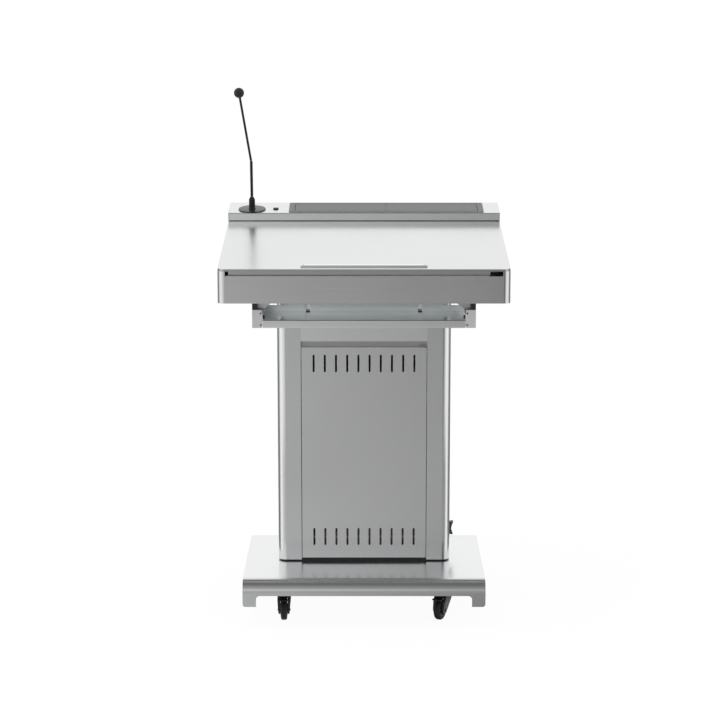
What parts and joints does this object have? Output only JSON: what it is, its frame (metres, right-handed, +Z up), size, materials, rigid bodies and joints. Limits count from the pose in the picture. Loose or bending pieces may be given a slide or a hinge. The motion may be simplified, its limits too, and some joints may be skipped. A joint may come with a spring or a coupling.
{
  "type": "presentation lectern",
  "caption": "Presentation lectern on casters: sloping lift-up desk with socket hatch and gooseneck microphone, pull-out keyboard tray, and equipment column with vented door.",
  "frame": {"origin": "on the floor under the middle of the desk's outline", "axes": "+Z up; the speaker stands on the -Y side and looks along +Y; +X is to the speaker's right"},
  "size_m": [0.804, 0.61, 1.5043],
  "materials": {
    "stainless": "satin brushed stainless steel",
    "dark_anodised": "dark grey anodised",
    "black_paint": "fine-textured black powder coat",
    "pale_grey_paint": "satin pale grey powder coat",
    "zinc": "bright zinc plate",
    "black_plastic": "fine spark-eroded texture",
    "gloss_black": "gloss black",
    "caster_black": "satin black nylon",
    "tyre": "matt",
    "foam": "open-cell foam"
  },
  "bodies": {
    "stand": {"base_cover": "stainless", "base_frame": "black_paint", "caster_plates": "black_paint", "caster_bolts": "zinc", "plinth": "black_paint", "column_floor": "zinc", "side_shell_left": "stainless", "side_shell_right": "stainless", "rear_panel": "stainless", "panel_screws": "zinc", "cable_port": "black_plastic", "header_panel": "stainless", "finger_pull": "stainless", "equipment_shelves": "zinc", "door_pins": "zinc", "door_catch": "black_plastic", "switch_housing": "black_plastic", "desk_wrap": "stainless", "desk_floor": "stainless", "desk_rear_panel": "stainless", "lid_hinge_fixed": "dark_anodised", "console_cover": "stainless", "hatch_frame": "dark_anodised", "flap_hinge_rod": "zinc", "socket_tray": "zinc", "sockets": "black_plastic", "rocker_housing": "black_plastic", "slide_hangers": "black_paint", "slide_gussets": "zinc", "slide_outers": "zinc", "mic_base": "gloss_black"},
    "lid": {"lid": "stainless", "lid_stiffeners": "zinc", "lid_hinge_moving": "dark_anodised", "paper_stop": "stainless"},
    "flap_left": {"flap_left": "dark_anodised"},
    "flap_right": {"flap_right": "dark_anodised"},
    "console_rocker": {"console_rocker": "black_plastic"},
    "door": {"door": "stainless"},
    "power_rocker": {"power_rocker": "black_plastic"},
    "tray": {"tray": "stainless", "tray_end_caps": "pale_grey_paint", "slide_inners": "zinc"},
    "slide_middles": {"slide_middles": "zinc"},
    "mic_lower": {"mic_lower_neck": "black_paint"},
    "mic_upper": {"mic_upper_neck": "black_paint", "mic_windscreen": "foam"},
    "fork_fl": {"caster_fork_fl": "caster_black"},
    "wheel_fl": {"wheel_hub_fl": "caster_black", "wheel_tyre_fl": "tyre"},
    "pedal_fl": {"brake_pedal_fl": "caster_black"},
    "fork_fr": {"caster_fork_fr": "caster_black"},
    "wheel_fr": {"wheel_hub_fr": "caster_black", "wheel_tyre_fr": "tyre"},
    "pedal_fr": {"brake_pedal_fr": "caster_black"},
    "fork_rl": {"caster_fork_rl": "caster_black"},
    "wheel_rl": {"wheel_hub_rl": "caster_black", "wheel_tyre_rl": "tyre"},
    "fork_rr": {"caster_fork_rr": "caster_black"},
    "wheel_rr": {"wheel_hub_rr": "caster_black", "wheel_tyre_rr": "tyre"}
  },
  "joints": [
    {"name": "lid_hinge", "type": "hinge", "parent": "stand", "child": "lid", "pos_m": [0, 0.18586, 1.10871], "axis": [-1, 0, 0], "range_deg": [0, 55]},
    {"name": "flap_left_hinge", "type": "hinge", "parent": "stand", "child": "flap_left", "pos_m": [0.066, 0.28172, 1.1491], "axis": [-1, 0, 0], "range_deg": [0, 105]},
    {"name": "flap_right_hinge", "type": "hinge", "parent": "stand", "child": "flap_right", "pos_m": [0.066, 0.28172, 1.1491], "axis": [-1, 0, 0], "range_deg": [0, 105]},
    {"name": "console_rocker_tilt", "type": "hinge", "parent": "stand", "child": "console_rocker", "pos_m": [-0.2625, 0.2325, 1.14343], "axis": [1, 0, 0], "range_deg": [0, 9]},
    {"name": "tray_slide", "type": "slide", "parent": "stand", "child": "tray", "axis": [0, -1, 0], "range_m": [0, 0.19]},
    {"name": "slide_middles_slide", "type": "slide", "parent": "stand", "child": "slide_middles", "axis": [0, -1, 0], "range_m": [0, 0.095]},
    {"name": "door_hinge", "type": "hinge", "parent": "stand", "child": "door", "pos_m": [0.17, -0.0484, 0.462], "axis": [0, 0, 1], "range_deg": [0, 105]},
    {"name": "power_rocker_tilt", "type": "hinge", "parent": "stand", "child": "power_rocker", "pos_m": [0.252, 0.045, 0.215], "axis": [0, -1, 0], "range_deg": [0, 10]},
    {"name": "mic_nod", "type": "hinge", "parent": "stand", "child": "mic_lower", "pos_m": [-0.333, 0.21977, 1.18546], "axis": [1, 0, 0], "range_deg": [-25, 25]},
    {"name": "mic_bend", "type": "hinge", "parent": "mic_lower", "child": "mic_upper", "pos_m": [-0.333, 0.20396, 1.28531], "axis": [0, 0.9877, 0.1564], "range_deg": [-35, 45]},
    {"name": "swivel_fl", "type": "hinge", "parent": "stand", "child": "fork_fl", "pos_m": [-0.23, -0.15, 0.086], "axis": [0, 0, 1], "continuous": true},
    {"name": "spin_fl", "type": "hinge", "parent": "fork_fl", "child": "wheel_fl", "pos_m": [-0.23, -0.174, 0.03], "axis": [1, 0, 0], "continuous": true},
    {"name": "pedal_fl", "type": "hinge", "parent": "fork_fl", "child": "pedal_fl", "pos_m": [-0.23, -0.162, 0.064], "axis": [1, 0, 0], "range_deg": [0, 8]},
    {"name": "swivel_fr", "type": "hinge", "parent": "stand", "child": "fork_fr", "pos_m": [0.23, -0.15, 0.086], "axis": [0, 0, 1], "continuous": true},
    {"name": "spin_fr", "type": "hinge", "parent": "fork_fr", "child": "wheel_fr", "pos_m": [0.2191, -0.17138, 0.03], "axis": [0.891, -0.454, 0], "continuous": true},
    {"name": "pedal_fr", "type": "hinge", "parent": "fork_fr", "child": "pedal_fr", "pos_m": [0.22455, -0.16069, 0.064], "axis": [0.891, -0.454, 0], "range_deg": [0, 8]},
    {"name": "swivel_rl", "type": "hinge", "parent": "stand", "child": "fork_rl", "pos_m": [-0.23, 0.146, 0.086], "axis": [0, 0, 1], "continuous": true},
    {"name": "spin_rl", "type": "hinge", "parent": "fork_rl", "child": "wheel_rl", "pos_m": [-0.23, 0.122, 0.03], "axis": [1, 0, 0], "continuous": true},
    {"name": "swivel_rr", "type": "hinge", "parent": "stand", "child": "fork_rr", "pos_m": [0.23, 0.146, 0.086], "axis": [0, 0, 1], "continuous": true},
    {"name": "spin_rr", "type": "hinge", "parent": "fork_rr", "child": "wheel_rr", "pos_m": [0.23, 0.122, 0.03], "axis": [1, 0, 0], "continuous": true}
  ],
  "couplings": [
    {"joint": "slide_middles_slide", "follows": "tray_slide", "ratio": 0.5}
  ]
}
